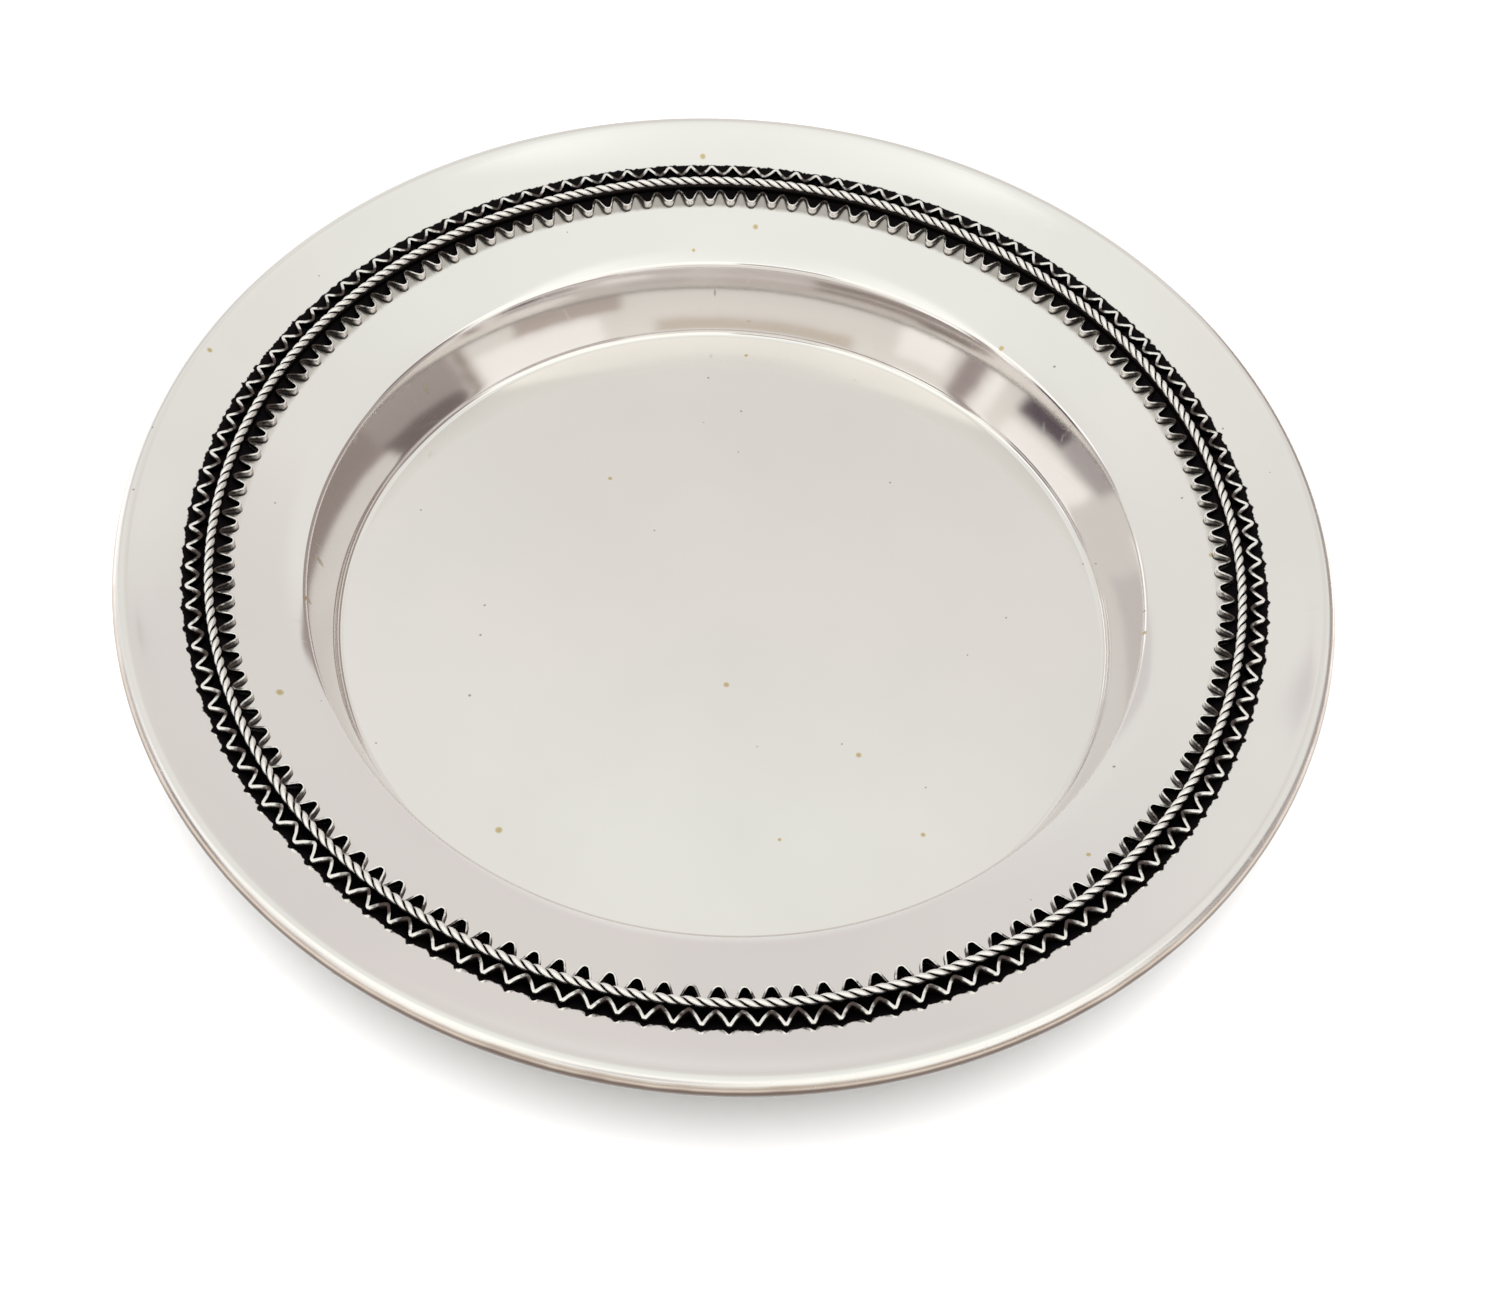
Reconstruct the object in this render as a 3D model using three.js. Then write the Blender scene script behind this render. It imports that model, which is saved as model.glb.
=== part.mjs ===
// A round silver offering plate with a flat-floored well and a wide dished rim.
// Filigree stands on the rim near its outer edge: an outer and an inner zigzag ribbon
// set on edge, and between them a wire of two twisted strands that sits on a plain
// ribbon. Every strip and wire is a ring bent from one length, with a butt joint.
// Units are millimetres, +Z is up, and the origin is the centre of the resting face.

import * as THREE from 'three';

// ---- driving dimensions -------------------------------------------------------

const PLATE_RADIUS = 75;
const SHEET = 0.9;

// the rim: height of its upper face above the well floor at its middle radius, and slope;
// outside that radius it is dished, and towards the well it rolls over
const RIM_MID_RADIUS = 63.75;
const RIM_MID_HEIGHT = 15.05;
const RIM_SLOPE = 0.338;
const RIM_DISHING = 0.0105;
const ROLL_RADIUS = 56;
const RIM_ROLL = 0.03;

// the well: a cove at its foot, a wall that leans out more the higher it gets, by angles
// measured from upright, and a fillet at its top
const COVE_FILLET = 1;
const WALL_FOOT_LEAN_DEG = 6;
const WALL_TOP_LEAN_DEG = 22;
const SHOULDER_FILLET = 1.2;
const SHOULDER_RADIUS = 53.25;

// the round bead that finishes the edge, hanging under the rim's upper face
const BEAD_RADIUS = 1.45;

// zigzag ribbons, on edge: radii of their bends, height of the level upper edge
const OUTER_RIBBON = { teeth: 138, valley: 65.0, crest: 66.46, top: 17.8 };
const INNER_RIBBON = { teeth: 133, valley: 61.3, crest: 63.22, top: 16.36 };
const RIBBON_THICKNESS = 0.4;

// the twisted wire, and the plain ribbon it sits on
const ROPE_RADIUS = 63.89;
const ROPE_HEIGHT = 17.45;
const ROPE_TURNS = 133;
const STRAND_RADIUS = 0.2;
const STRAND_OFFSET = 0.32;
const SEAT_TOP = 16.82;
const SEAT_THICKNESS = 0.5;

// room left under the strips for solder, and between the two ends of each ring
const SOLDER_ROOM = 0.12;
const JOINT_GAP = 0.3;

// where each ring's butt joint lies, in degrees counter-clockwise from +X
const OUTER_JOINT_DEG = 165;
const INNER_JOINT_DEG = 287;
const ROPE_JOINT_DEG = 200;
const SEAT_JOINT_DEG = 20;

// how finely round shapes are divided
const PLATE_SEGMENTS = 72;
const STEPS_PER_TOOTH = 2;
const STEPS_PER_TURN = 4;
const STRAND_SIDES = 3;

const RAD = Math.PI / 180;

// ---- the rim's upper face ------------------------------------------------------

function rimHeight(radius) {
  const outside = Math.max(0, radius - RIM_MID_RADIUS);
  const rolling = Math.max(0, ROLL_RADIUS - radius);
  const cone = SHEET + RIM_MID_HEIGHT + RIM_SLOPE * (radius - RIM_MID_RADIUS);
  return cone + RIM_DISHING * outside * outside - RIM_ROLL * rolling * rolling;
}

function rimSlope(radius) {
  const outside = Math.max(0, radius - RIM_MID_RADIUS);
  const rolling = Math.max(0, ROLL_RADIUS - radius);
  return RIM_SLOPE + 2 * RIM_DISHING * outside + 2 * RIM_ROLL * rolling;
}

function rimNormal(radius) {
  const slope = rimSlope(radius);
  return new THREE.Vector2(-slope, 1).normalize();
}

// ---- materials ------------------------------------------------------------------

function silver(colour, roughness) {
  return new THREE.MeshStandardMaterial({ color: colour, roughness, metalness: 1 });
}

// ---- the plate --------------------------------------------------------------------

function arcPoint(centre, radius, deg) {
  const x = centre.x + radius * Math.cos(deg * RAD);
  const y = centre.y + radius * Math.sin(deg * RAD);
  return new THREE.Vector2(x, y);
}

// points of an arc round a centre, both ends included
function arc(centre, radius, fromDeg, toDeg, steps) {
  const points = [];
  for (let i = 0; i <= steps; i++) {
    const deg = fromDeg + ((toDeg - fromDeg) * i) / steps;
    points.push(arcPoint(centre, radius, deg));
  }
  return points;
}

// the centre of a circle that touches the rim's upper face from below at a radius
function centreBelowRim(touchRadius, circleRadius) {
  const touch = new THREE.Vector2(touchRadius, rimHeight(touchRadius));
  return touch.addScaledVector(rimNormal(touchRadius), -circleRadius);
}

function rimNormalDeg(radius) {
  return rimNormal(radius).angle() / RAD;
}

// the radius where the bead leaves the rim's upper face, so that it ends at the edge
function beadStart() {
  const centreRadius = PLATE_RADIUS - BEAD_RADIUS;
  let radius = centreRadius;
  for (let i = 0; i < 20; i++) {
    radius = centreRadius + rimNormal(radius).x * BEAD_RADIUS;
  }
  return radius;
}

// One face of the sheet as a line, from the floor outwards to the bead: the cove, the
// flared wall, the shoulder and the rim. The depth is measured down from the upper face.
function sheetFace(depth) {
  const footDeg = 180 - WALL_FOOT_LEAN_DEG;
  const topDeg = 180 - WALL_TOP_LEAN_DEG;
  const shoulder = centreBelowRim(SHOULDER_RADIUS, SHOULDER_FILLET);
  const shoulderEndDeg = rimNormalDeg(SHOULDER_RADIUS);
  const wallTop = arcPoint(shoulder, SHOULDER_FILLET, topDeg);

  const coveHeight = SHEET + COVE_FILLET;
  const footHeight = coveHeight - COVE_FILLET * Math.sin(footDeg * RAD);
  const wallRise = wallTop.y - footHeight;
  const wallRadius = wallRise / (Math.sin(topDeg * RAD) - Math.sin(footDeg * RAD));
  const wall = arcPoint(wallTop, -wallRadius, topDeg);
  const wallFoot = arcPoint(wall, wallRadius, footDeg);
  const cove = arcPoint(wallFoot, COVE_FILLET, footDeg);

  const rim = [];
  const rimEnd = beadStart();
  const rimSteps = 6;
  for (let i = 1; i <= rimSteps; i++) {
    const radius = SHOULDER_RADIUS + ((rimEnd - SHOULDER_RADIUS) * i) / rimSteps;
    const point = new THREE.Vector2(radius, rimHeight(radius));
    rim.push(point.addScaledVector(rimNormal(radius), -depth));
  }
  return [
    ...arc(cove, COVE_FILLET + depth, 270, 180 + footDeg, 3),
    ...arc(wall, wallRadius - depth, footDeg, topDeg, 4).slice(1),
    ...arc(shoulder, SHOULDER_FILLET - depth, topDeg, shoulderEndDeg, 3).slice(1),
    ...rim,
  ];
}

// the bead runs from the upper face round to where the lower face meets it
function beadArc() {
  const centre = centreBelowRim(beadStart(), BEAD_RADIUS);
  const topDeg = rimNormalDeg(beadStart());
  const meetDeg = topDeg + Math.acos((BEAD_RADIUS - SHEET) / BEAD_RADIUS) / RAD - 360;
  const crownDeg = 90;
  return [
    ...arc(centre, BEAD_RADIUS, meetDeg, 0, 6),
    ...arc(centre, BEAD_RADIUS, 0, crownDeg, 3).slice(1),
    ...arc(centre, BEAD_RADIUS, crownDeg, topDeg, 1).slice(1),
  ];
}

function plateGeometry() {
  const profile = [
    new THREE.Vector2(0, 0),
    ...sheetFace(SHEET).slice(0, -1),
    ...beadArc(),
    ...sheetFace(0).slice(0, -1).reverse(),
    new THREE.Vector2(0, SHEET),
  ];
  return new THREE.LatheGeometry(profile, PLATE_SEGMENTS).rotateX(Math.PI / 2);
}

// ---- rings bent from one length ------------------------------------------------------

// A ring's centre line, which stops short of closing by the joint gap. The bend is a
// function of the fraction of the ring passed, and gives the line's radius and height.
class RingCurve extends THREE.Curve {
  constructor(bend, radius, jointDeg) {
    super();
    const halfGap = JOINT_GAP / 2 / radius;
    this.bend = bend;
    this.start = jointDeg * RAD + halfGap;
    this.sweep = 2 * Math.PI - 2 * halfGap;
  }

  getPoint(t, target = new THREE.Vector3()) {
    const angle = this.start + this.sweep * t;
    const { radius, height } = this.bend(t);
    return target.set(radius * Math.cos(angle), radius * Math.sin(angle), height);
  }

  // even steps in angle, so that every bend falls on a step
  getUtoTmapping(u) {
    return u;
  }
}

function sweepAlong(shape, curve, steps) {
  return new THREE.ExtrudeGeometry(shape, { steps, extrudePath: curve });
}

// a strip's section: its upper edge is on the ring's line, and the strip hangs below it
function stripShape(thickness, depth) {
  const half = thickness / 2;
  const shape = new THREE.Shape();
  shape.moveTo(0, -half);
  shape.lineTo(depth, -half);
  shape.lineTo(depth, half);
  shape.lineTo(0, half);
  return shape;
}

// brings the lower edge of a strip down to the sloping rim
function setOnRim(geometry, top) {
  const position = geometry.getAttribute('position');
  for (let i = 0; i < position.count; i++) {
    if (position.getZ(i) < top - SOLDER_ROOM) {
      const radius = Math.hypot(position.getX(i), position.getY(i));
      position.setZ(i, rimHeight(radius) + SOLDER_ROOM);
    }
  }
  return geometry;
}

function zigzagGeometry({ teeth, valley, crest, top }, jointDeg) {
  const middle = (valley + crest) / 2;
  const swing = (crest - valley) / 2;
  const bend = (t) => ({
    radius: middle - swing * Math.cos(2 * Math.PI * teeth * t),
    height: top,
  });
  const curve = new RingCurve(bend, middle, jointDeg);
  const shape = stripShape(RIBBON_THICKNESS, 1);
  const strip = sweepAlong(shape, curve, teeth * STEPS_PER_TOOTH);
  return setOnRim(strip, top);
}

function seatGeometry() {
  const bend = () => ({ radius: ROPE_RADIUS, height: SEAT_TOP });
  const curve = new RingCurve(bend, ROPE_RADIUS, SEAT_JOINT_DEG);
  const shape = stripShape(SEAT_THICKNESS, 1);
  return setOnRim(sweepAlong(shape, curve, PLATE_SEGMENTS), SEAT_TOP);
}

// one strand winds round the rope's line like a right-hand screw
function strandGeometry(phase) {
  const bend = (t) => {
    const turn = phase - 2 * Math.PI * ROPE_TURNS * t;
    return {
      radius: ROPE_RADIUS + STRAND_OFFSET * Math.cos(turn),
      height: ROPE_HEIGHT + STRAND_OFFSET * Math.sin(turn),
    };
  };
  const curve = new RingCurve(bend, ROPE_RADIUS, ROPE_JOINT_DEG);
  const shape = new THREE.Shape();
  for (let i = 0; i < STRAND_SIDES; i++) {
    const angle = (2 * Math.PI * i) / STRAND_SIDES;
    const x = STRAND_RADIUS * Math.cos(angle);
    const y = STRAND_RADIUS * Math.sin(angle);
    if (i === 0) {
      shape.moveTo(x, y);
    } else {
      shape.lineTo(x, y);
    }
  }
  return sweepAlong(shape, curve, ROPE_TURNS * STEPS_PER_TURN);
}

// ---- the assembly -----------------------------------------------------------------------

const offeringPlate = new THREE.Group();

function addPart(name, geometry, material) {
  const mesh = new THREE.Mesh(geometry, material);
  mesh.name = name;
  offeringPlate.add(mesh);
}

const outerZigzag = zigzagGeometry(OUTER_RIBBON, OUTER_JOINT_DEG);
const innerZigzag = zigzagGeometry(INNER_RIBBON, INNER_JOINT_DEG);

addPart('plate_body', plateGeometry(), silver(0xdcdad4, 0.2));
addPart('outer_zigzag_ribbon', outerZigzag, silver(0x8b8682, 0.35));
addPart('inner_zigzag_ribbon', innerZigzag, silver(0x98938e, 0.35));
addPart('rope_seat_strip', seatGeometry(), silver(0x2f2b29, 0.55));
addPart('twisted_wire_strand_a', strandGeometry(0), silver(0xf2efe6, 0.3));
addPart('twisted_wire_strand_b', strandGeometry(Math.PI), silver(0xf2efe6, 0.3));

export default offeringPlate;
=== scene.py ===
"""A small silver offering plate with a band of soldered filigree, on a pale floor."""
import math

import bpy
import numpy as np
from mathutils import Matrix, Vector


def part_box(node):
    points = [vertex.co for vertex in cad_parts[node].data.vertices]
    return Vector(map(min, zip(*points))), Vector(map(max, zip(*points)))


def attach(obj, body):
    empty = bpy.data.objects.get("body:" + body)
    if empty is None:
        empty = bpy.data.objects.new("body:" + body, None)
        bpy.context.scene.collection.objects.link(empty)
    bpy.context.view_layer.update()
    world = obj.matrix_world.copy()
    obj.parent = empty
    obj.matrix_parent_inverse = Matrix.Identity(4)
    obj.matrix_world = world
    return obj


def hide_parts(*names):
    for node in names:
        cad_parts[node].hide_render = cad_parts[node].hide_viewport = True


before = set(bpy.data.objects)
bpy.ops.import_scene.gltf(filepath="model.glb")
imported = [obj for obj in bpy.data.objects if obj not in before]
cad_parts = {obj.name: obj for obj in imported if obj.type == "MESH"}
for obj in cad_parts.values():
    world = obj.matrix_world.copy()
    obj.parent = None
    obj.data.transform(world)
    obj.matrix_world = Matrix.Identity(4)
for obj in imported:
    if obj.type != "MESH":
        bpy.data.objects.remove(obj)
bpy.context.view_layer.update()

MM = 0.001

# ---- sizes, in metres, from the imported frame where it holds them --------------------

_, plate_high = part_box("plate_body")
_, outer_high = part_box("outer_zigzag_ribbon")
_, inner_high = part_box("inner_zigzag_ribbon")
rope_low, rope_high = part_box("twisted_wire_strand_a")

PLATE_RADIUS = plate_high.x
SHEET = 0.9 * MM
BEAD_RADIUS = 1.45 * MM

# the rim's upper face: a cone that is dished outside its middle radius and rolls over
# towards the well
RIM_MID_RADIUS = 63.75 * MM
RIM_MID_HEIGHT = 15.05 * MM
RIM_SLOPE = 0.338
RIM_DISHING = 0.0105 / MM
ROLL_RADIUS = 56 * MM
RIM_ROLL = 0.03 / MM

# the well
COVE_FILLET = 1.0 * MM
WALL_FOOT_LEAN = math.radians(6)
WALL_TOP_LEAN = math.radians(22)
SHOULDER_FILLET = 1.2 * MM
SHOULDER_RADIUS = 53.25 * MM

# filigree: zigzag ribbons on edge, with level upper edges, on either side of the rope. Each has
# a number of teeth, the side of the rope that it is on, the middle radius and half width of
# its zigzag, the place where the ring is joined, and two shares that shape its bends
RIBBON_FOOT = 0.03 * MM
OUTER = {"teeth": 138, "side": 1, "middle": 65.74 * MM, "swing": 0.75 * MM, "thickness": 0.36 * MM,
         "top": outer_high.z, "joint": math.radians(165), "broad": -0.10, "sharp": 0.08}
INNER = {"teeth": 133, "side": -1, "middle": 62.27 * MM, "swing": 0.97 * MM, "thickness": 0.24 * MM,
         "top": inner_high.z, "joint": math.radians(287), "broad": 0.10, "sharp": -0.05}

ROPE_RADIUS = 63.89 * MM
ROPE_HEIGHT = (rope_low.z + rope_high.z) / 2
ROPE_TURNS = 133
STRAND_RADIUS = 0.29 * MM
STRAND_HALF_WIDTH = 0.35 * MM
ROPE_JOINT = math.radians(200)
SEAT_JOINT = math.radians(20)
SEAT_THICKNESS = 0.5 * MM
JOINT_GAP = 0.04 * MM

# hand work: how much the bends and the level of a ribbon vary, and how far its corners are worn
BEND_SHIFT = 0.035
SWING_CHANGE = 0.07
LEVEL_CHANGE = 0.03 * MM
CORNER_WEAR = 0.05 * MM

# the outer edge of the blackened ground, and the foot of the well's wall
PATINA_EDGE = 67.1 * MM
WALL_FOOT_RADIUS = 50.24 * MM


def rim_height(radius):
    """Height of the rim's upper face above the table, for a radius or an array of them."""
    outside = np.maximum(0, radius - RIM_MID_RADIUS)
    rolling = np.maximum(0, ROLL_RADIUS - radius)
    cone = SHEET + RIM_MID_HEIGHT + RIM_SLOPE * (radius - RIM_MID_RADIUS)
    return cone + RIM_DISHING * outside ** 2 - RIM_ROLL * rolling ** 2


def rim_normal(radius):
    outside = max(0, radius - RIM_MID_RADIUS)
    rolling = max(0, ROLL_RADIUS - radius)
    slope = RIM_SLOPE + 2 * RIM_DISHING * outside + 2 * RIM_ROLL * rolling
    return Vector((-slope, 1)).normalized()


def rim_normal_angle(radius):
    normal = rim_normal(radius)
    return math.atan2(normal.y, normal.x)


# ---- camera -------------------------------------------------------------------------

# angles in radians
FOCAL_IN_FRAME_WIDTHS = 1.4333
CAMERA_ELEVATION = 0.93878
CAMERA_DISTANCE = 3.75239 * PLATE_RADIUS
CAMERA_TILT = 0.01339
CAMERA_PAN = -0.01256
CAMERA_ROLL = 0.07699
SENSOR_WIDTH = 36


def make_camera():
    data = bpy.data.cameras.new("camera")
    data.sensor_width = SENSOR_WIDTH
    data.lens = FOCAL_IN_FRAME_WIDTHS * data.sensor_width
    data.clip_start = 0.01
    data.clip_end = 50
    camera = bpy.data.objects.new("camera", data)
    bpy.context.scene.collection.objects.link(camera)
    back = Vector((0, -math.cos(CAMERA_ELEVATION), math.sin(CAMERA_ELEVATION)))
    right = Vector((1, 0, 0))
    down = (-back).cross(right)
    looking = Matrix((right, down, -back))
    aim = (
        Matrix.Rotation(CAMERA_ROLL, 3, "Z")
        @ Matrix.Rotation(CAMERA_TILT, 3, "X")
        @ Matrix.Rotation(CAMERA_PAN, 3, "Y")
    )
    rows = aim @ looking
    turned = Matrix((rows[0], -rows[1], -rows[2])).transposed()
    place = back * CAMERA_DISTANCE + Vector((0, 0, SHEET))
    camera.matrix_world = Matrix.Translation(place) @ turned.to_4x4()
    bpy.context.scene.camera = camera


# ---- meshes -------------------------------------------------------------------------


def new_piece(name, points, faces, material, node):
    """A smooth mesh piece that rides on the root and replaces a CAD node."""
    mesh = bpy.data.meshes.new(name)
    mesh.from_pydata([tuple(p) for p in points], [], [tuple(f) for f in faces])
    mesh.polygons.foreach_set("use_smooth", [True] * len(mesh.polygons))
    mesh.materials.append(material)
    mesh.validate()
    mesh.update()
    piece = bpy.data.objects.new(name, mesh)
    bpy.context.scene.collection.objects.link(piece)
    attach(piece, "root")
    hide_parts(node)
    return piece


def arc_point(centre, radius, angle):
    return Vector((centre[0] + radius * math.cos(angle), centre[1] + radius * math.sin(angle)))


def arc(centre, radius, start, end, steps):
    """Points of an arc round a centre, both ends included."""
    return [arc_point(centre, radius, angle) for angle in np.linspace(start, end, steps + 1)]


def centre_below_rim(touch_radius, circle_radius):
    touch = Vector((touch_radius, rim_height(touch_radius)))
    return touch - rim_normal(touch_radius) * circle_radius


STEPS_TO_BEAD_START = 20


def find_bead_start():
    """The radius where the bead leaves the rim's upper face, so that it ends at the edge."""
    centre_radius = PLATE_RADIUS - BEAD_RADIUS
    radius = centre_radius
    for _ in range(STEPS_TO_BEAD_START):
        radius = centre_radius + rim_normal(radius).x * BEAD_RADIUS
    return radius


BEAD_START = find_bead_start()
BEAD_CENTRE = centre_below_rim(BEAD_START, BEAD_RADIUS)


COVE_STEPS = 10
WALL_STEPS = 14
SHOULDER_STEPS = 12
RIM_STEPS = 24
BEAD_STEPS_BELOW = 20
BEAD_STEPS_OUTSIDE = 16
BEAD_STEPS_ABOVE = 4
STRAIGHT_DOWN = 1.5 * math.pi


def sheet_face(depth):
    """One face of the sheet from the floor out to the bead, at a depth below the upper one."""
    foot_angle = math.pi - WALL_FOOT_LEAN
    top_angle = math.pi - WALL_TOP_LEAN
    shoulder = centre_below_rim(SHOULDER_RADIUS, SHOULDER_FILLET)
    wall_top = arc_point(shoulder, SHOULDER_FILLET, top_angle)
    foot_height = SHEET + COVE_FILLET - COVE_FILLET * math.sin(foot_angle)
    wall_radius = (wall_top.y - foot_height) / (math.sin(top_angle) - math.sin(foot_angle))
    wall = arc_point(wall_top, -wall_radius, top_angle)
    cove = arc_point(arc_point(wall, wall_radius, foot_angle), COVE_FILLET, foot_angle)
    rim_angle = rim_normal_angle(SHOULDER_RADIUS)
    rim = []
    for radius in np.linspace(SHOULDER_RADIUS, BEAD_START, RIM_STEPS + 1)[1:]:
        rim.append(Vector((radius, rim_height(radius))) - rim_normal(radius) * depth)
    return (
        arc(cove, COVE_FILLET + depth, STRAIGHT_DOWN, math.pi + foot_angle, COVE_STEPS)
        + arc(wall, wall_radius - depth, foot_angle, top_angle, WALL_STEPS)[1:]
        + arc(shoulder, SHOULDER_FILLET - depth, top_angle, rim_angle, SHOULDER_STEPS)[1:]
        + rim
    )


def bead_arc():
    """From where the lower face meets the bead, round below and outside, to its top."""
    top = rim_normal_angle(BEAD_START)
    meet = top + math.acos((BEAD_RADIUS - SHEET) / BEAD_RADIUS) - 2 * math.pi
    below = arc(BEAD_CENTRE, BEAD_RADIUS, meet, 0, BEAD_STEPS_BELOW)
    outside = arc(BEAD_CENTRE, BEAD_RADIUS, 0, math.pi / 2, BEAD_STEPS_OUTSIDE)
    above = arc(BEAD_CENTRE, BEAD_RADIUS, math.pi / 2, top, BEAD_STEPS_ABOVE)
    return below + outside[1:] + above[1:]


PLATE_SEGMENTS = 480
FLOOR_SHARES = (0.25, 0.5, 0.75)


def make_plate(material):
    upper = sheet_face(0)
    lower = sheet_face(SHEET)
    rings = [Vector((lower[0].x * share, 0)) for share in FLOOR_SHARES]
    rings += lower[:-1] + bead_arc() + upper[:-1][::-1]
    rings += [Vector((upper[0].x * share, SHEET)) for share in FLOOR_SHARES[::-1]]
    count = PLATE_SEGMENTS
    angles = np.arange(count) * 2 * math.pi / count
    points = []
    for ring in rings:
        points.extend(zip(ring.x * np.cos(angles), ring.x * np.sin(angles), np.full(count, ring.y)))
    bottom_centre = len(points)
    points.append((0, 0, 0))
    top_centre = len(points)
    points.append((0, 0, SHEET))
    faces = []
    for j in range(len(rings) - 1):
        for i in range(count):
            k = (i + 1) % count
            faces.append((j * count + i, j * count + k, (j + 1) * count + k, (j + 1) * count + i))
    last = (len(rings) - 1) * count
    for i in range(count):
        k = (i + 1) % count
        faces.append((bottom_centre, k, i))
        faces.append((top_centre, last + i, last + k))
    return new_piece("plate", points, faces, material, "plate_body")


def swept(sections):
    """Joins the sections along a path into a closed tube with flat ends."""
    steps, sides = sections.shape[:2]
    faces = []
    for j in range(steps - 1):
        for i in range(sides):
            k = (i + 1) % sides
            faces.append((j * sides + i, j * sides + k, (j + 1) * sides + k, (j + 1) * sides + i))
    faces.append(tuple(range(sides))[::-1])
    faces.append(tuple((steps - 1) * sides + i for i in range(sides)))
    return sections.reshape(-1, 3), faces


def ring_angles(joint, radius, steps):
    half_gap = JOINT_GAP / 2 / radius
    return np.linspace(joint + half_gap, joint + 2 * math.pi - half_gap, steps)


def along_ring(rng, count, amount, steps):
    """A random value at each tooth, joined by straight lines along the ring."""
    values = rng.normal(0, amount, count + 1)
    return np.interp(np.linspace(0, count, steps), np.arange(count + 1), values)


def strip_sections(x, y, thickness, top, worn):
    """Sections of a strip on edge: from the rim up to its upper edge, whose corners are worn."""
    tx = np.gradient(x)
    ty = np.gradient(y)
    length = np.hypot(tx, ty)
    # across the strip, up (0 is the rim and 1 the upper edge), and how far a corner is worn
    outline = [(-1, 0, 0), (-1, 0.5, 0), (-1, 1, 1), (-0.7, 1, 0.3), (0, 1, 0),
               (0.7, 1, 0.3), (1, 1, 1), (1, 0.5, 0), (1, 0, 0)]
    sections = np.empty((len(x), len(outline), 3))
    for i, (side, up, wear) in enumerate(outline):
        px = x + ty / length * thickness / 2 * side
        py = y - tx / length * thickness / 2 * side
        foot = rim_height(np.hypot(px, py)) - RIBBON_FOOT
        sections[:, i, 0] = px
        sections[:, i, 1] = py
        sections[:, i, 2] = foot + (top - worn * wear - foot) * up
    return sections


STEPS_PER_TOOTH = 24


def ribbon_wave(phase, broad, sharp):
    """1 at the bend away from the rope and -1 at the bend beside it."""
    wave = np.cos(phase) + sharp * np.cos(3 * phase)
    return wave / (1 + sharp) - broad * np.cos(2 * phase) + broad


def make_ribbon(name, node, ribbon, seed, material):
    """A ribbon on edge, bent by hand into rounded zigzags and set down on the rim."""
    rng = np.random.default_rng(seed)
    teeth = ribbon["teeth"]
    steps = teeth * STEPS_PER_TOOTH + 1
    angles = ring_angles(ribbon["joint"], ribbon["middle"], steps)
    phase = teeth * (angles - ribbon["joint"]) + math.pi
    phase = phase + 2 * math.pi * along_ring(rng, teeth, BEND_SHIFT, steps)
    swing = ribbon["swing"] * (1 + along_ring(rng, teeth, SWING_CHANGE, steps))
    wave = ribbon_wave(phase, ribbon["broad"], ribbon["sharp"])
    radius = ribbon["middle"] + ribbon["side"] * swing * wave
    level = ribbon["top"] - np.abs(along_ring(rng, teeth, LEVEL_CHANGE, steps))
    x = radius * np.cos(angles)
    y = radius * np.sin(angles)
    points, faces = swept(strip_sections(x, y, ribbon["thickness"], level, CORNER_WEAR))
    return new_piece(name, points, faces, material, node)


STEPS_PER_TURN = 18
STRAND_SIDES = 12


def make_strand(name, node, phase, material):
    """One strand, drawn flat against the other, wound like a right-hand screw."""
    steps = ROPE_TURNS * STEPS_PER_TURN + 1
    angles = ring_angles(ROPE_JOINT, ROPE_RADIUS, steps)
    turn = phase - 2 * math.pi * ROPE_TURNS * np.linspace(0, 1, steps)
    outward = np.stack([np.cos(angles), np.sin(angles), np.zeros(steps)], 1)
    upward = np.array([0, 0, 1.0])
    away = outward * np.cos(turn)[:, None] + upward * np.sin(turn)[:, None]
    centre = outward * ROPE_RADIUS + upward * ROPE_HEIGHT + away * STRAND_RADIUS
    along = np.gradient(centre, axis=0)
    along /= np.linalg.norm(along, axis=1)[:, None]
    across = np.cross(along, away)
    across /= np.linalg.norm(across, axis=1)[:, None]
    out = np.cross(across, along)
    sections = np.empty((steps, STRAND_SIDES, 3))
    for i in range(STRAND_SIDES):
        a = 2 * math.pi * i / STRAND_SIDES
        section = out * math.cos(a) * STRAND_RADIUS + across * math.sin(a) * STRAND_HALF_WIDTH
        sections[:, i] = centre + section
    points, faces = swept(sections)
    return new_piece(name, points, faces, material, node)


SEAT_STEPS = 577
SEAT_TOP = ROPE_HEIGHT - 1.6 * STRAND_RADIUS


def make_seat(material):
    """The plain ribbon on edge that carries the rope."""
    angles = ring_angles(SEAT_JOINT, ROPE_RADIUS, SEAT_STEPS)
    x = ROPE_RADIUS * np.cos(angles)
    y = ROPE_RADIUS * np.sin(angles)
    points, faces = swept(strip_sections(x, y, SEAT_THICKNESS, SEAT_TOP, CORNER_WEAR))
    return new_piece("rope_seat", points, faces, material, "rope_seat_strip")


# ---- shader nodes -----------------------------------------------------------------------


NOISE_ROUGHNESS = 0.55

# a speck fades in between these shares of its size
SPECK_FADE_START = 1.3
SPECK_FADE_END = 0.5


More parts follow.
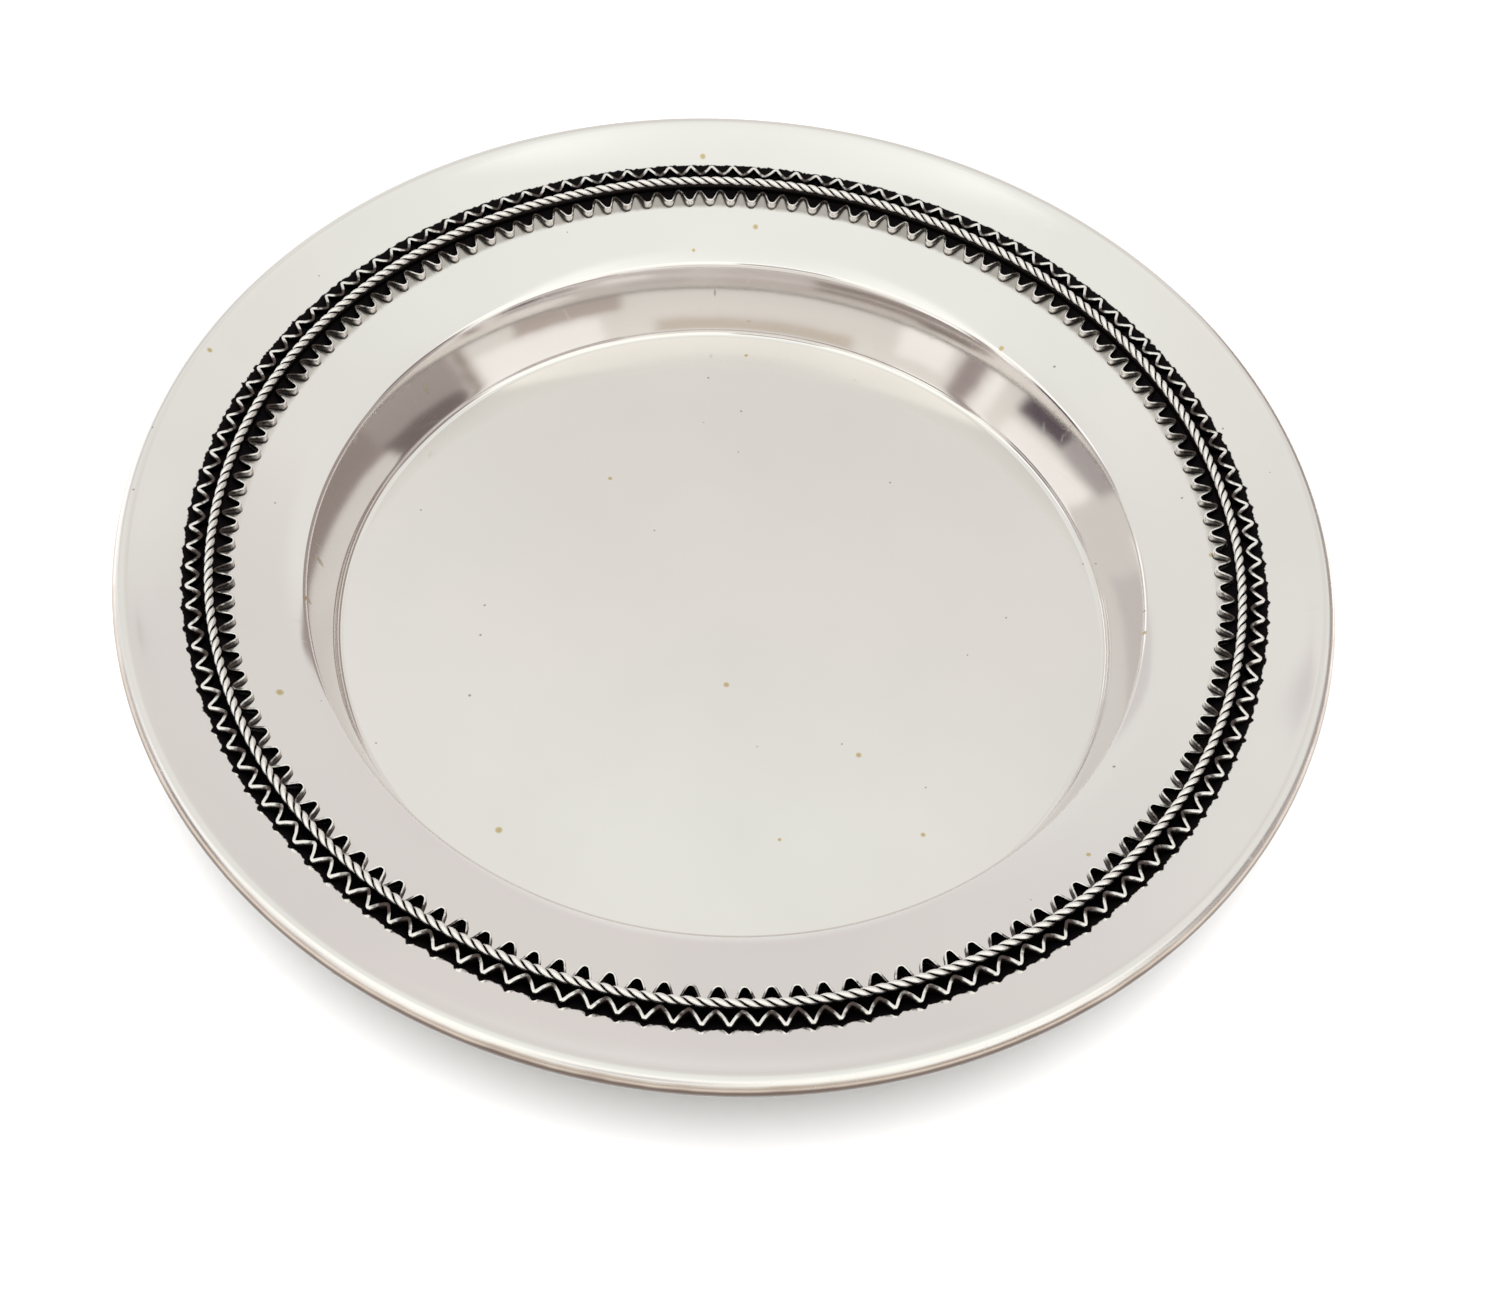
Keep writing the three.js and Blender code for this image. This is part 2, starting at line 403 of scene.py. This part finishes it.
class Nodes:
    """Short names for the nodes of one shader tree."""

    def __init__(self, tree, place):
        self.tree = tree
        self.place = self.add("ShaderNodeTexCoord").outputs[place]
        split = self.add("ShaderNodeSeparateXYZ")
        self.link(self.place, split.inputs[0])
        self.x, self.y, self.z = split.outputs
        self.radius = self.length(self.x, self.y)
        self.angle = self.math("ARCTAN2", self.y, self.x)

    def add(self, kind, **settings):
        node = self.tree.nodes.new(kind)
        for key, value in settings.items():
            setattr(node, key, value)
        return node

    def link(self, source, target):
        if isinstance(source, bpy.types.NodeSocket):
            self.tree.links.new(source, target)
        elif isinstance(source, tuple) and len(source) == 3 and target.type == "RGBA":
            target.default_value = (*source, 1.0)
        else:
            target.default_value = source

    def math(self, operation, a, b=0.0, c=0.0, clamp=False):
        node = self.add("ShaderNodeMath", operation=operation, use_clamp=clamp)
        for value, socket in zip((a, b, c), node.inputs):
            self.link(value, socket)
        return node.outputs[0]

    def times(self, first, *others):
        for other in others:
            first = self.math("MULTIPLY", first, other)
        return first

    def plus(self, a, b):
        return self.math("ADD", a, b)

    def minus(self, a, b):
        return self.math("SUBTRACT", a, b)

    def centred(self, value, amount):
        """A value from 0 to 1, moved to run from -amount to amount."""
        return self.math("MULTIPLY_ADD", value, 2 * amount, -amount)

    def length(self, a, b):
        return self.math("SQRT", self.plus(self.times(a, a), self.times(b, b)))

    def step(self, value, low, high):
        """0 at low and 1 at high, smooth between; low may be above high."""
        node = self.add("ShaderNodeMapRange", interpolation_type="SMOOTHSTEP")
        flip = low > high
        self.link(value, node.inputs["Value"])
        self.link(min(low, high), node.inputs["From Min"])
        self.link(max(low, high), node.inputs["From Max"])
        node.inputs["To Min"].default_value = 1.0 if flip else 0.0
        node.inputs["To Max"].default_value = 0.0 if flip else 1.0
        return node.outputs["Result"]

    def noise(self, scale, detail=3.0, stretch=None):
        node = self.add("ShaderNodeTexNoise")
        place = self.place
        if stretch is not None:
            mapping = self.add("ShaderNodeMapping")
            self.link(place, mapping.inputs["Vector"])
            mapping.inputs["Scale"].default_value = stretch
            place = mapping.outputs[0]
        self.link(place, node.inputs["Vector"])
        node.inputs["Scale"].default_value = scale
        node.inputs["Detail"].default_value = detail
        node.inputs["Roughness"].default_value = NOISE_ROUGHNESS
        return node.outputs["Fac"]

    def specks(self, scale, share, smallest, spread):
        """Round specks in a share of the cells of a grid, with soft edges."""
        cells = self.add("ShaderNodeTexVoronoi", feature="F1", voronoi_dimensions="2D")
        self.link(self.place, cells.inputs["Vector"])
        cells.inputs["Scale"].default_value = scale
        chosen = self.add("ShaderNodeSeparateColor")
        self.link(cells.outputs["Color"], chosen.inputs[0])
        rare = self.math("LESS_THAN", chosen.outputs[0], share)
        size = self.math("MULTIPLY_ADD", chosen.outputs[1], spread * scale, smallest * scale)
        off = self.math("DIVIDE", cells.outputs["Distance"], size)
        return self.times(rare, self.step(off, SPECK_FADE_START, SPECK_FADE_END))

    def mix(self, share, a, b):
        node = self.add("ShaderNodeMix", data_type="RGBA")
        self.link(share, node.inputs["Factor"])
        a_socket, b_socket = [s for s in node.inputs if s.type == "RGBA"]
        self.link(a, a_socket)
        self.link(b, b_socket)
        return [s for s in node.outputs if s.type == "RGBA"][0]

    def mix_normals(self, share, a, b):
        node = self.add("ShaderNodeMix", data_type="VECTOR")
        self.link(share, node.inputs["Factor"])
        a_socket, b_socket = [s for s in node.inputs if s.type == "VECTOR"][-2:]
        self.link(a, a_socket)
        self.link(b, b_socket)
        return [s for s in node.outputs if s.type == "VECTOR"][0]

    def ramp(self, value, stops):
        node = self.add("ShaderNodeValToRGB")
        self.link(value, node.inputs["Fac"])
        elements = node.color_ramp.elements
        while len(elements) < len(stops):
            elements.new(1.0)
        for element, (position, colour) in zip(elements, stops):
            element.position = position
            element.color = (*colour, 1.0)
        return node.outputs["Color"]

    def bump(self, height, distance, normal=None):
        node = self.add("ShaderNodeBump")
        node.inputs["Strength"].default_value = 1.0
        node.inputs["Distance"].default_value = distance
        self.link(height, node.inputs["Height"])
        if normal is not None:
            self.link(normal, node.inputs["Normal"])
        return node.outputs[0]


def metal(name):
    """A new metal material: its nodes and its shader."""
    material = bpy.data.materials.new(name)
    material.use_nodes = True
    shader = material.node_tree.nodes["Principled BSDF"]
    shader.inputs["Metallic"].default_value = 1.0
    return material, Nodes(material.node_tree, "Object"), shader


# ---- materials ------------------------------------------------------------------------

SILVER = (0.905, 0.89, 0.87)
DULLER_SILVER = (0.865, 0.855, 0.84)
BRIGHT_WIRE = (0.97, 0.96, 0.935)
PATINA = (0.010, 0.008, 0.009)
BROWN_PATINA = (0.075, 0.050, 0.038)
# brown between the inner loops: partly tarnish, partly painted shade
STAIN_AND_SHADE = (0.17, 0.13, 0.095)
SPECK = (0.60, 0.47, 0.20)
DARK_SPECK = (0.10, 0.08, 0.07)
WALL_DARKER_TONE = (0.74, 0.69, 0.67)
# the bead's lower side: a painted warm reflection with some tarnish, then its underside in painted
# shade
BEAD_TARNISH_AND_REFLECTION = (0.52, 0.45, 0.39)
BEAD_UNDERSIDE_REFLECTION_AND_SHADE = (0.11, 0.08, 0.065)
DULL_EDGE = (0.10, 0.08, 0.075)
INNER_SIDE = (0.24, 0.19, 0.15)
SEAT_GREY = (0.04, 0.033, 0.03)

# tarnish in round specks: cells per metre, the share of them that holds a speck, its smallest
# radius, and how much larger it can be
YELLOW_SPECKS = {"scale": 115, "share": 0.10, "smallest": 0.20 * MM, "spread": 0.26 * MM}
DARK_SPECKS = {"scale": 190, "share": 0.06, "smallest": 0.08 * MM, "spread": 0.12 * MM}

# places round the bead's section, in radians above its outermost point: each is a soft border
# between where a change begins and where it is complete. Noise moves them by up to the waver,
# and they fade in across the border, just inside the bead's middle.
BEAD_HAZE = (1.5, 1.1)
# the next two: where the painted reflection on the bead begins, then its painted shade underneath,
# both with some tarnish
BEAD_REFLECTION_BORDER = (0.95, 0.65)
BEAD_SHADE_BORDER = (0.62, 0.25)
BEAD_WAVER = 0.15
BEAD_BORDER = 0.6 * MM

# the blackened ground: how ragged and how soft its edge is, its points at the bends of the
# outer ribbon, and how much further out it reaches on the far side
GROUND_RAGGED = 0.4 * MM
GROUND_SOFT = 0.07 * MM
GROUND_POINT = 0.22 * MM
GROUND_POINT_SHARPNESS = 3.0
GROUND_FAR_SPREAD = 0.15 * MM

# the brown, partly tarnish and partly painted shade under the loops, fades in across the inner ends
# of the inner ribbon's loops
STAIN_AND_SHADE_OUTSIDE = 0.25 * MM
STAIN_AND_SHADE_INSIDE = 0.45 * MM

# how deep the worn silver reaches down the open bends of each ribbon
OUTER_OPEN_DEPTH = 0.6 * MM
INNER_OPEN_DEPTH = 1.25 * MM


def tooth_wave(n, ribbon):
    """The cosine of a ribbon's phase, as a shader value."""
    start = math.pi - ribbon["teeth"] * ribbon["joint"]
    phase = n.math("MULTIPLY_ADD", n.angle, float(ribbon["teeth"]), start % (2 * math.pi))
    return n.math("COSINE", phase)


def bead_tarnish_and_painted_reflection(n, base):
    """The base colour with the bead's tarnish and painted reflection and shade, where the bead is,
    and the height round it.
    """
    turn = n.math("ARCTAN2", n.minus(n.z, BEAD_CENTRE.y), n.minus(n.radius, BEAD_CENTRE.x))
    at_edge = n.step(n.radius, BEAD_CENTRE.x - BEAD_BORDER, BEAD_CENTRE.x)
    height = n.plus(turn, n.centred(n.noise(160, detail=2), BEAD_WAVER))
    # painted reflection, then painted shade, on the bead's lower side, with some tarnish
    below = n.times(at_edge, n.step(height, *BEAD_REFLECTION_BORDER))
    base = n.mix(below, base, BEAD_TARNISH_AND_REFLECTION)
    underside_reflection_and_shade = n.times(at_edge, n.step(height, *BEAD_SHADE_BORDER))
    return n.mix(underside_reflection_and_shade, base, BEAD_UNDERSIDE_REFLECTION_AND_SHADE), at_edge, height


def darken_wall(n, base):
    """The base colour darker and greyer on the well's wall, all the way round."""
    outside_foot = n.step(n.radius, WALL_FOOT_RADIUS - 0.5 * MM, WALL_FOOT_RADIUS + 0.2 * MM)
    inside_shoulder = n.step(n.radius, SHOULDER_RADIUS - 0.2 * MM, SHOULDER_RADIUS - 0.7 * MM)
    on_wall = n.times(outside_foot, inside_shoulder)
    return n.mix(n.times(on_wall, 0.5), base, WALL_DARKER_TONE)


def on_upper_face(n):
    """1 on the rim's upper face and 0 on its underside."""
    past_middle = n.minus(n.radius, RIM_MID_RADIUS)
    dished = n.math("MAXIMUM", past_middle, 0.0)
    face = n.math("MULTIPLY_ADD", past_middle, RIM_SLOPE, SHEET + RIM_MID_HEIGHT)
    face = n.plus(face, n.times(dished, dished, RIM_DISHING))
    return n.step(n.minus(n.z, face), -0.6 * MM, -0.3 * MM)


def filigree_ground(n):
    """Where the rim is black under the filigree, and where it is brown between inner loops with
    tarnish and painted shade.
    """
    outer_wave = tooth_wave(n, OUTER)
    inner_wave = tooth_wave(n, INNER)
    far = n.math("DIVIDE", n.y, n.radius)
    ragged = n.centred(n.noise(1100, detail=4), GROUND_RAGGED)

    # the outer edge has points at the bends, longest on the near side
    at_bend = n.math("POWER", n.math("MAXIMUM", outer_wave, 0.0), GROUND_POINT_SHARPNESS)
    reach = n.math("MULTIPLY_ADD", far, -GROUND_POINT, GROUND_POINT)
    spread = n.plus(n.times(at_bend, reach), n.times(far, GROUND_FAR_SPREAD))
    outer_edge = n.minus(n.plus(n.radius, ragged), spread)

    # the inner edge follows the loops of the inner ribbon
    loop_line = n.math("MULTIPLY_ADD", inner_wave, INNER["swing"], -INNER["middle"])
    past_loop = n.plus(n.radius, loop_line)
    on_top = on_upper_face(n)
    ground = n.times(n.step(outer_edge, PATINA_EDGE + GROUND_SOFT, PATINA_EDGE - GROUND_SOFT),
                     n.step(past_loop, -0.05 * MM, 0.1 * MM), on_top)

    # brown between the loops, heavier along the far side: partly tarnish, partly painted shade
    # under the loops
    loops_end = INNER["middle"] - INNER["swing"]
    between = n.step(n.plus(n.radius, n.times(ragged, 0.6)),
                     loops_end - STAIN_AND_SHADE_INSIDE, loops_end + STAIN_AND_SHADE_OUTSIDE)
    patches = n.math("MULTIPLY_ADD", n.noise(75, detail=2), 0.9, -0.5)
    stain_and_shade_amount = n.plus(n.step(far, -0.5, 0.9), patches)
    stain_and_shade_beside_loops = n.times(between, on_top, n.minus(1.0, ground),
                           n.step(outer_edge, PATINA_EDGE, ROPE_RADIUS),
                           n.math("MULTIPLY", stain_and_shade_amount, 0.6, clamp=True))
    return ground, stain_and_shade_beside_loops


def plate_material():
    material, n, shader = metal("polished_silver")

    # slow changes of tone, as on silver that was polished by hand
    cloud = n.noise(28, detail=4)
    base = n.mix(n.step(cloud, 0.3, 0.75), SILVER, DULLER_SILVER)

    # tarnish: round yellow specks, and fewer small dark ones
    yellow = n.specks(**YELLOW_SPECKS)
    dark = n.specks(**DARK_SPECKS)
    base = n.mix(n.times(yellow, 0.85), base, SPECK)
    base = n.mix(n.times(dark, 0.6), base, DARK_SPECK)

    # the bead's lower side is warm, then dark brown underneath: a little tarnish, mostly a painted
    # reflection and painted shade
    base, at_edge, height = bead_tarnish_and_painted_reflection(n, base)
    base = darken_wall(n, base)
    ground, stain_and_shade_beside_loops = filigree_ground(n)
    # brown between the inner loops, partly painted shade
    base = n.mix(stain_and_shade_beside_loops, base, STAIN_AND_SHADE)
    base = n.mix(ground, base, PATINA)
    n.link(base, shader.inputs["Base Color"])

    # roughness: fine scratches and cloudy handling marks, more on specks, bead and patina
    along = n.noise(1400, detail=2, stretch=(1.0, 0.06, 0.3))
    crossing = n.noise(1100, detail=2, stretch=(0.08, 1.0, 0.3))
    scratch = n.math("MAXIMUM", n.step(along, 0.66, 0.74), n.step(crossing, 0.67, 0.75))
    bead_haze = n.times(at_edge, n.step(height, *BEAD_HAZE))
    rough = n.math("MULTIPLY_ADD", cloud, 0.07, 0.055)
    rough = n.math("MULTIPLY_ADD", scratch, 0.08, rough)
    rough = n.math("MULTIPLY_ADD", n.plus(yellow, dark), 0.3, rough)
    rough = n.math("MULTIPLY_ADD", bead_haze, 0.17, rough)
    rough = n.math("MULTIPLY_ADD", n.plus(ground, n.times(stain_and_shade_beside_loops, 0.6)), 0.45, rough)
    n.link(rough, shader.inputs["Roughness"])

    # slow waves from hand work, the scratches, and a grain in the patina
    polished = n.bump(n.noise(95, detail=1), 0.008 * MM)
    scored = n.bump(scratch, 0.0005 * MM, normal=polished)
    grain = n.bump(n.noise(5200, detail=3), 0.05 * MM)
    n.link(n.mix_normals(ground, scored, grain), shader.inputs["Normal"])
    return material


def facing_outward(n):
    """How far the surface faces away from the plate's axis, from -1 to 1."""
    geometry = n.add("ShaderNodeNewGeometry")
    facing = n.add("ShaderNodeVectorMath", operation="DOT_PRODUCT")
    outward = n.add("ShaderNodeCombineXYZ")
    n.link(n.math("DIVIDE", n.x, n.radius), outward.inputs[0])
    n.link(n.math("DIVIDE", n.y, n.radius), outward.inputs[1])
    n.link(geometry.outputs["Normal"], facing.inputs[0])
    n.link(outward.outputs[0], facing.inputs[1])
    return facing.outputs["Value"]


def ribbon_material(name, ribbon, side_colour, open_depth):
    """Worn bright along the upper edge, most at the bends away from the rope; dark below."""
    material, n, shader = metal(name)
    wear = n.noise(2200, detail=3)
    level = n.math("MULTIPLY_ADD", wear, 0.34 * MM, n.minus(n.z, ribbon["top"] + 0.17 * MM))
    edge = n.step(level, -0.22 * MM, -0.08 * MM)
    open_side = n.step(n.times(facing_outward(n), float(ribbon["side"])), 0.2, 0.8)
    upper = n.step(level, -open_depth, -open_depth / 2)
    bright = n.math("MAXIMUM", edge, n.times(open_side, upper))

    # the handling that brightened it: heavy on the open bends, uneven from place to place
    handled = n.math("MULTIPLY_ADD", tooth_wave(n, ribbon), 0.55, 0.50)
    handled = n.plus(handled, n.centred(n.noise(70, detail=2), 1.0))
    handled = n.plus(handled, n.centred(n.noise(1300, detail=2), 0.8))
    polish = n.step(handled, 0.0, 0.75)
    worn = n.mix(polish, DULL_EDGE, BRIGHT_WIRE)
    dark = n.mix(n.times(open_side, n.step(wear, 0.35, 0.6)), PATINA, side_colour)
    n.link(n.mix(bright, dark, worn), shader.inputs["Base Color"])
    n.link(n.math("MULTIPLY_ADD", n.times(bright, polish), -0.25, 0.5), shader.inputs["Roughness"])
    n.link(n.bump(n.noise(2600, detail=3), 0.03 * MM), shader.inputs["Normal"])
    return material


def wire_material():
    """Bright all round the rope, black down in its grooves and where it meets its seat."""
    material, n, shader = metal("bright_silver_wire")
    beside = n.minus(n.radius, ROPE_RADIUS)
    above = n.minus(n.z, ROPE_HEIGHT)
    away = n.length(beside, above)
    out_of_groove = n.step(away, 0.33 * MM, 0.45 * MM)
    off_seat = n.step(above, -0.46 * MM, -0.30 * MM)
    bright = n.times(out_of_groove, off_seat)
    n.link(n.mix(bright, PATINA, BRIGHT_WIRE), shader.inputs["Base Color"])
    n.link(n.math("MULTIPLY_ADD", bright, -0.15, 0.5), shader.inputs["Roughness"])
    n.link(n.bump(n.noise(4000, detail=3), 0.01 * MM), shader.inputs["Normal"])
    return material


def seat_material():
    material, n, shader = metal("oxidised_silver")
    grain = n.noise(3000, detail=4)
    n.link(n.mix(grain, PATINA, SEAT_GREY), shader.inputs["Base Color"])
    n.link(n.math("MULTIPLY_ADD", grain, 0.25, 0.4), shader.inputs["Roughness"])
    n.link(n.bump(grain, 0.03 * MM), shader.inputs["Normal"])
    return material


# ---- stage and light --------------------------------------------------------------------


FLOOR_HALF = 3.0
FLOOR_DROP = 0.02 * MM
FLOOR_TONE = (0.5, 0.5, 0.5, 1)
FLOOR_GLOW = 0.03


def make_floor():
    half = FLOOR_HALF
    mesh = bpy.data.meshes.new("floor")
    corners = [(-half, -half, 0), (half, -half, 0), (half, half, 0), (-half, half, 0)]
    mesh.from_pydata(corners, [], [(0, 1, 2, 3)])
    material = bpy.data.materials.new("pale_floor")
    material.use_nodes = True
    shader = material.node_tree.nodes["Principled BSDF"]
    shader.inputs["Base Color"].default_value = FLOOR_TONE
    shader.inputs["Roughness"].default_value = 0.9
    shader.inputs["Specular IOR Level"].default_value = 0.0
    shader.inputs["Emission Color"].default_value = (1, 1, 1, 1)
    shader.inputs["Emission Strength"].default_value = FLOOR_GLOW
    mesh.materials.append(material)
    floor = bpy.data.objects.new("floor", mesh)
    floor.location.z = -FLOOR_DROP
    bpy.context.scene.collection.objects.link(floor)


KEY_PLACE = (0, -0.13, 0.99)
KEY_WIDTH = math.radians(50)
KEY_STRENGTH = 7.0


def make_key_light():
    """An even soft light from high above, a little towards the camera."""
    data = bpy.data.lights.new("key", "SUN")
    data.angle = KEY_WIDTH
    data.energy = KEY_STRENGTH
    lamp = bpy.data.objects.new("key", data)
    bpy.context.scene.collection.objects.link(lamp)
    lamp.location = KEY_PLACE
    lamp.rotation_euler = lamp.location.to_track_quat("Z", "Y").to_euler()
    lamp.visible_camera = False
    lamp.visible_glossy = False


# the studio's tones by the sine of the height above the horizon
BEYOND_PLATE = (
    (0.00, (0.88, 0.86, 0.84)),
    (0.16, (0.85, 0.83, 0.80)),
    (0.27, (0.76, 0.715, 0.70)),
    (0.60, (0.765, 0.735, 0.71)),
    (0.74, (0.765, 0.745, 0.70)),
    (0.80, (0.81, 0.785, 0.75)),
    (0.86, (0.86, 0.86, 0.81)),
    (1.00, (0.94, 0.945, 0.90)),
)
WINDOW = (1.20, 1.19, 1.16)
BEHIND_CAMERA = (
    (0.00, (0.82, 0.78, 0.73)),
    (0.20, (0.88, 0.85, 0.81)),
    (0.60, (1.05, 1.03, 0.98)),
    (0.85, (1.22, 1.21, 1.13)),
    (0.97, (1.10, 1.10, 1.04)),
    (1.00, (0.94, 0.945, 0.90)),
)


SIDE_TONE = (0.87, 0.855, 0.82)
BACKDROP = (1.0, 1.0, 1.0)

# upright things round the plate, about clockwise as seen from above, from what the left of
# the well's wall mirrors. Each has an azimuth, a half width, a bottom and a top, in degrees
# as seen from the plate, and a tone. The last is the photographer.
SURROUNDINGS = (
    (38, 25, -10, 31, (0.37, 0.31, 0.29)),
    (1, 14, -10, 28, (0.45, 0.40, 0.38)),
    (1, 13, 28, 41, (0.22, 0.18, 0.17)),
    (325, 17, 21, 40, WINDOW),
    (345, 1.5, 10, 38, (0.35, 0.29, 0.26)),
    (316, 14, -10, 20, (0.55, 0.48, 0.43)),
    (268, 26, 25, 33, (0.74, 0.67, 0.58)),
    (224, 7, 4, 26, WINDOW),
    (211, 3, 4, 33, (0.42, 0.36, 0.35)),
    (204, 2, 4, 33, WINDOW),
    (181, 15, 26, 41, WINDOW),
    (188, 8, 3, 23, (0.12, 0.09, 0.11)),
    (172, 8, -10, 24, (0.50, 0.46, 0.46)),
    (142, 10, -10, 20, WINDOW),
    (130, 14, 22, 36, (0.72, 0.68, 0.67)),
    (260, 14, 44, 61, (0.50, 0.47, 0.46)),
)
SOFT_BORDER = math.radians(1.5)
SOFT_HEIGHT = 0.02
BORDER_WANDER = 0.05


def add_surface(n, sky, wander, azimuth, half_width, bottom, top, tone):
    """The sky with something upright in front of it, with soft and slightly uneven borders."""
    turn = math.radians(azimuth)
    ahead = n.plus(n.times(n.x, math.cos(turn)), n.times(n.y, math.sin(turn)))
    off = n.math("ARCCOSINE", n.math("DIVIDE", ahead, n.radius))
    half = math.radians(half_width)
    height = n.plus(n.z, n.times(wander, 0.4))
    low = math.sin(math.radians(bottom))
    high = math.sin(math.radians(top))
    sideways = n.plus(off, n.times(wander, 0.5))
    share = n.times(n.step(sideways, half + SOFT_BORDER, half - SOFT_BORDER),
                    n.step(height, low - SOFT_HEIGHT, low + SOFT_HEIGHT),
                    n.step(height, high + SOFT_HEIGHT, high - SOFT_HEIGHT))
    return n.mix(share, sky, tone)


def make_world():
    world = bpy.data.worlds.new("studio")
    world.use_nodes = True
    n = Nodes(world.node_tree, "Generated")

    # one run of tones behind the camera and another beyond the plate, lighter at its sides
    sky = n.mix(n.step(n.y, -0.02, 0.08), n.ramp(n.z, BEHIND_CAMERA), n.ramp(n.z, BEYOND_PLATE))
    sideways = n.math("DIVIDE", n.x, n.radius)
    sides = n.math("MAXIMUM", n.step(sideways, 0.38, 0.60), n.step(sideways, -0.05, -0.40))
    lighter = n.times(sides, n.step(n.z, 0.92, 0.80), n.step(n.y, -0.02, 0.08), 0.75)
    sky = n.mix(lighter, sky, SIDE_TONE)

    wander = n.centred(n.noise(7, detail=3), BORDER_WANDER)
    for surface in SURROUNDINGS:
        sky = add_surface(n, sky, wander, *surface)

    # seen directly, the backdrop is as plain as the floor
    direct = n.add("ShaderNodeLightPath").outputs["Is Camera Ray"]
    sky = n.mix(direct, sky, BACKDROP)
    n.link(sky, world.node_tree.nodes["Background"].inputs["Color"])
    bpy.context.scene.world = world
    bpy.context.scene.view_settings.view_transform = "Standard"
    bpy.context.scene.view_settings.look = "None"


make_camera()
make_plate(plate_material())
make_ribbon("outer_zigzag", "outer_zigzag_ribbon", OUTER, 1,
            ribbon_material("outer_filigree", OUTER, BROWN_PATINA, OUTER_OPEN_DEPTH))
make_ribbon("inner_zigzag", "inner_zigzag_ribbon", INNER, 2,
            ribbon_material("inner_filigree", INNER, INNER_SIDE, INNER_OPEN_DEPTH))
wire = wire_material()
make_strand("wire_strand_a", "twisted_wire_strand_a", 0.0, wire)
make_strand("wire_strand_b", "twisted_wire_strand_b", math.pi, wire)
make_seat(seat_material())
make_floor()
make_world()
make_key_light()
